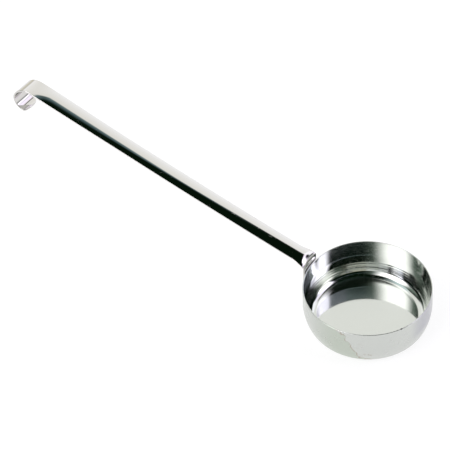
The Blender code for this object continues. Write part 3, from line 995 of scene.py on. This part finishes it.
def make_weld_steel():
    """The cup's own steel, tinted purple-brown and dulled towards the middle of each mark."""
    material, tree, shader = new_metal("weld steel", CUP_COLOUR)
    place = tree.add("ShaderNodeTexCoord").outputs["Object"]
    uneven = noise(tree, place, MOTTLE)
    from_middle = tree.minus(tree.attribute("from_middle"), MOTTLE_SHARE / 2)
    tinted = fade_out(tree, tree.math("MULTIPLY_ADD", uneven, MOTTLE_SHARE, from_middle), *HEAT_EDGE)
    tree.feed(shader, "Base Color", tree.mix(tinted, CUP_COLOUR, HEAT_TINT))
    dulling = HEATED_ROUGHNESS - UNHEATED_ROUGHNESS
    tree.feed(shader, "Roughness", tree.math("MULTIPLY_ADD", tinted, dulling, UNHEATED_ROUGHNESS))
    tree.feed(shader, "Normal", bump(tree, uneven, MOTTLE_DEPTH))
    return material


# %% The tree that puts a mark at each weld
MARK_INPUTS = {"Mark Radius": 0.00125, "Mark Height": 0.00005, "Segments": 24, "Rings": 12}
ALONG_THE_SHEET = (1.0, 1.0, 0.0)


def weld_marks_tree():
    """One flattened ball at each point, facing away from the Z axis."""
    node_tree = geometry_tree("weld marks", MARK_INPUTS)
    tree = Tree(node_tree)
    size = tree.add("NodeGroupInput").outputs
    ball = tree.add("GeometryNodeMeshUVSphere", Segments=size["Segments"], Rings=size["Rings"], Radius=1.0)
    level = tree.vector_math("MULTIPLY", tree.add("GeometryNodeInputPosition"), ALONG_THE_SHEET)
    marked = tree.mark_points(ball, "from_middle", tree.vector_math("LENGTH", level).outputs["Value"])
    smooth = tree.add("GeometryNodeSetShadeSmooth", Geometry=marked)
    outward = tree.add("FunctionNodeAlignRotationToVector", {"axis": "Z"}, Vector=level)
    shape = tree.add("ShaderNodeCombineXYZ", X=size["Mark Radius"], Y=size["Mark Radius"],
                     Z=size["Mark Height"])
    marks = tree.add("GeometryNodeInstanceOnPoints", Points=size["Geometry"], Instance=smooth,
                     Rotation=outward, Scale=shape)
    real = tree.add("GeometryNodeRealizeInstances", Geometry=marks)
    finished = tree.add("GeometryNodeSetMaterial", Geometry=real, Material=size["Material"])
    tree.add("NodeGroupOutput", Geometry=finished)
    return node_tree


# %% Mark the welds
WELD_NODES = ("spot_weld_left", "spot_weld_right", "spot_weld_lower")


def mark_places():
    """Two points for each weld: one on the inside of the wall, and one on the outer face of the tab."""
    places = []
    for node in WELD_NODES:
        low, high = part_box(node)
        middle = (Vector(low) + Vector(high)) / 2
        outward = Vector((middle.x, middle.y, 0.0)).normalized()
        wall = wall_radius(middle.z)
        for radius in (wall - CUP_WALL, wall + SEAM_GAP + STRIP_THICKNESS):
            places.append(outward * radius + Vector((0.0, 0.0, middle.z)))
    return places


weld_steel = make_weld_steel()
weld_points = bpy.data.meshes.new("weld places")
weld_points.from_pydata(mark_places(), [], [])
weld_marks = plain_mesh_from_nodes("weld_marks", weld_points, weld_marks_tree(), MARK_INPUTS, weld_steel)
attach(weld_marks, "root")
for node in WELD_NODES:
    bpy.data.objects[node].material_slots[0].material = weld_steel
print("weld marks:", len(weld_points.vertices), "with", triangle_count(weld_marks), "triangles")

# %% [markdown]
# Polished steel has hardly a colour of its own: it shows what stands around it. A photographer therefore
# lights it with large white panels and leaves dark gaps between them. Area lamps could stand for the
# panels, but panels painted on the world by direction light the ladle alike from every side, and no lamp
# shows in the picture. Each panel is a stretch of bearings, counted from the handle towards the left
# weld, and a stretch of heights over the horizon. All of its edges fade.

# %% A soft panel as a node group
PANEL_SIZES = ("Bearing", "Lean", "Half Width", "Start Fade", "Stop Fade",
               "Low", "Low Fade", "High", "High Fade")


def soft_panel_group():
    """How much of one panel lies in a direction: 1 inside it, 0 outside, and between at its edges."""
    group = bpy.data.node_groups.new("soft panel", "ShaderNodeTree")
    add_socket(group, "Direction", "Vector")
    for label in PANEL_SIZES:
        add_socket(group, label, "Float")
    add_socket(group, "Cover", "Float", "OUTPUT")
    tree = Tree(group)
    size = tree.add("NodeGroupInput").outputs
    turned = tree.add("ShaderNodeVectorRotate", {"rotation_type": "Z_AXIS"}, Vector=size["Direction"],
                      Angle=tree.times(size["Bearing"], -1.0))
    parts = tree.add("ShaderNodeSeparateXYZ", Vector=turned).outputs
    height = tree.math("ARCSINE", parts["Z"])
    upright = tree.math("ARCTAN2", parts["Y"], parts["X"])
    middle_height = tree.times(tree.plus(size["Low"], size["High"]), 0.5)
    over_middle = tree.minus(height, middle_height)
    leant = tree.math("MULTIPLY_ADD", over_middle, size["Lean"], upright)
    start = tree.times(size["Half Width"], -1.0)
    cover = tree.times(fade_in(tree, leant, start, size["Start Fade"]),
                       fade_out(tree, upright, size["Half Width"], size["Stop Fade"]),
                       fade_in(tree, height, size["Low"], size["Low Fade"]),
                       fade_out(tree, height, size["High"], size["High Fade"]))
    tree.add("NodeGroupOutput", Cover=cover)
    return group


# %% The panels of this studio
# Bearings and heights are in degrees: start, width of its fade, stop, width of its fade. A panel has one
# colour, or climbs to its top colour. A lean tips its start edge over.
Panel = namedtuple("Panel", "bearings heights colour top_colour lean", defaults=(None, 0.0))

DARK_ROOM = (0.003, 0.009, 0.004)
LAVENDER_PANE = (3.3, 3.1, 3.6)
WHITE_PANE = (3.1, 3.0, 3.1)
WIDE_WHITE = (1.36, 1.38, 1.44)
WIDE_TOP_WHITE = (1.08, 1.07, 1.02)

PANELS = (
    # A white sweep all round, from the table up to a little over the horizon.
    Panel((-180, 1, 180, 1), (-90, 1, 7, 6), (0.80, 0.80, 0.80), (0.60, 0.60, 0.60)),
    # A faint glow over the wide panel.
    Panel((-101, 8, -62, 30), (60, 6, 77, 16), (0.22, 0.31, 0.33), (0.10, 0.16, 0.17)),
    # Light that falls from high over the handle.
    Panel((-35, 20, 40, 30), (56, 6, 72, 14), (0.88, 1.05, 1.08)),
    # The wide panel opposite the camera, in three stretches that overlap, each lower than the one before.
    Panel((-99, 2, -76, 12), (0, 4, 65.5, 7), WIDE_WHITE, WIDE_TOP_WHITE),
    Panel((-88, 10, -40, 14), (0, 4, 63.5, 5), WIDE_WHITE, WIDE_TOP_WHITE),
    Panel((-58, 14, -3, 14), (19, 12, 59, 8), (1.30, 1.30, 1.32), (1.10, 1.09, 1.04)),
    # The dim foot of its last stretch.
    Panel((-62, 12, 14, 24), (0, 4, 19, 12), (0.95, 0.92, 0.80), (0.80, 0.77, 0.66)),
    # A lower panel before its first stretch, that one's raised end, and the link to the lavender window.
    Panel((-126, 8, -99, 2), (0, 4, 49, 5), (1.5, 1.5, 1.62), (1.5, 1.5, 1.60)),
    Panel((-130, 8, -110, 8), (40, 8, 54.5, 3), (1.3, 1.2, 1.3)),
    Panel((-150, 8, -122, 8), (33, 8, 56, 10), (1.5, 1.4, 1.7)),
    # The lavender window, mirrored on the left inside the cup: sill, lower pane, bar and upper pane.
    Panel((-165, 12, -134, 10), (4, 4, 20, 6), (0.50, 0.52, 0.52)),
    Panel((-172, 12, -142, 14), (17, 6, 44.5, 1), LAVENDER_PANE),
    Panel((-171, 16, -138, 14), (44.5, 1, 46.4, 0.5), (2.40, 2.25, 2.80)),
    Panel((-164, 16, -142, 14), (46.4, 0.5, 53, 14), LAVENDER_PANE),
    # The slate-blue rail at the bar's height, behind the camera, and its brighter end at that window.
    Panel((100, 16, 187, 12), (45.05, 0.5, 46.0, 0.5), (0.30, 0.40, 0.42)),
    Panel((154, 16, 189, 12), (45.05, 0.5, 46.0, 0.5), (0.42, 0.44, 0.54)),
    # The glow round the white window, and that window, mirrored on the right inside the cup.
    Panel((12, 24, 106, 44), (14, 14, 62, 24), (0.24, 0.30, 0.26)),
    Panel((37, 28, 90, 38), (12, 10, 63, 14), WHITE_PANE, lean=0.50),
)


# %% The world
def panel_cover(tree, group, direction, panel):
    """Add one panel's node group to the world, and give its sizes in radians."""
    start, start_fade, stop, stop_fade = (math.radians(angle) for angle in panel.bearings)
    low, low_fade, high, high_fade = (math.radians(angle) for angle in panel.heights)
    middle = (start + stop) / 2
    node = tree.add("ShaderNodeGroup", {"node_tree": group}, Direction=direction)
    sizes = (middle, panel.lean, stop - middle, start_fade, stop_fade, low, low_fade, high, high_fade)
    for label, value in zip(PANEL_SIZES, sizes):
        node.inputs[label].default_value = value
    return node.outputs["Cover"]


def studio_world():
    """A dark room with the panels laid over one another, in their order."""
    world = bpy.data.worlds.new("studio")
    world.use_nodes = True
    world.node_tree.nodes.clear()
    tree = Tree(world.node_tree)
    direction = tree.add("ShaderNodeTexCoord").outputs["Generated"]
    height = tree.math("ARCSINE", tree.add("ShaderNodeSeparateXYZ", Vector=direction).outputs["Z"])
    group = soft_panel_group()
    colour = DARK_ROOM
    for panel in PANELS:
        low, _, high, _ = panel.heights
        climb = tree.add("ShaderNodeMapRange", Value=height, From_Min=math.radians(max(low, 0.0)),
                         From_Max=math.radians(high))
        paint = tree.mix(climb, panel.colour, panel.top_colour or panel.colour)
        colour = tree.mix(panel_cover(tree, group, direction, panel), colour, paint)
    background = tree.add("ShaderNodeBackground", Color=colour, Strength=1.0)
    tree.add("ShaderNodeOutputWorld", Surface=background)
    return world


bpy.context.scene.world = studio_world()
print("the studio has", len(PANELS), "soft panels")

# %% [markdown]
# The ladle stands on a white table. Its own diffuse white carries the soft shadow, and a plain glow that
# the camera, the steel and anything clear see alike lifts the table to the white of the paper.

# %% The white table
TABLE_SIZE = 40.0
TABLE_WHITE = (0.30, 0.30, 0.30)
TABLE_GLOW = 0.80


def table_paint():
    """Diffuse white, with a glow for every ray that makes a picture of the table."""
    material = bpy.data.materials.new("table paint")
    material.use_nodes = True
    material.node_tree.nodes.clear()
    tree = Tree(material.node_tree)
    ray = tree.add("ShaderNodeLightPath").outputs
    mirrored_or_clear = tree.math("MAXIMUM", ray["Is Glossy Ray"], ray["Is Transmission Ray"])
    seen = tree.math("MAXIMUM", ray["Is Camera Ray"], mirrored_or_clear)
    white = tree.add("ShaderNodeBsdfDiffuse", Color=TABLE_WHITE)
    glow = tree.add("ShaderNodeEmission", Strength=tree.times(seen, TABLE_GLOW))
    both = tree.add("ShaderNodeAddShader")
    tree.feed(both, 0, white)
    tree.feed(both, 1, glow)
    tree.add("ShaderNodeOutputMaterial", Surface=both)
    return material


def lay_table():
    """A wide flat square at the height of the cup's base."""
    half = TABLE_SIZE / 2
    corners = [(-half, -half, 0.0), (half, -half, 0.0), (half, half, 0.0), (-half, half, 0.0)]
    mesh = bpy.data.meshes.new("table")
    mesh.from_pydata(corners, [], [(0, 1, 2, 3)])
    mesh.materials.append(table_paint())
    return new_object("table", mesh)


table = lay_table()
bpy.context.scene.view_settings.view_transform = "Standard"
print("the table is", TABLE_SIZE, "m wide")
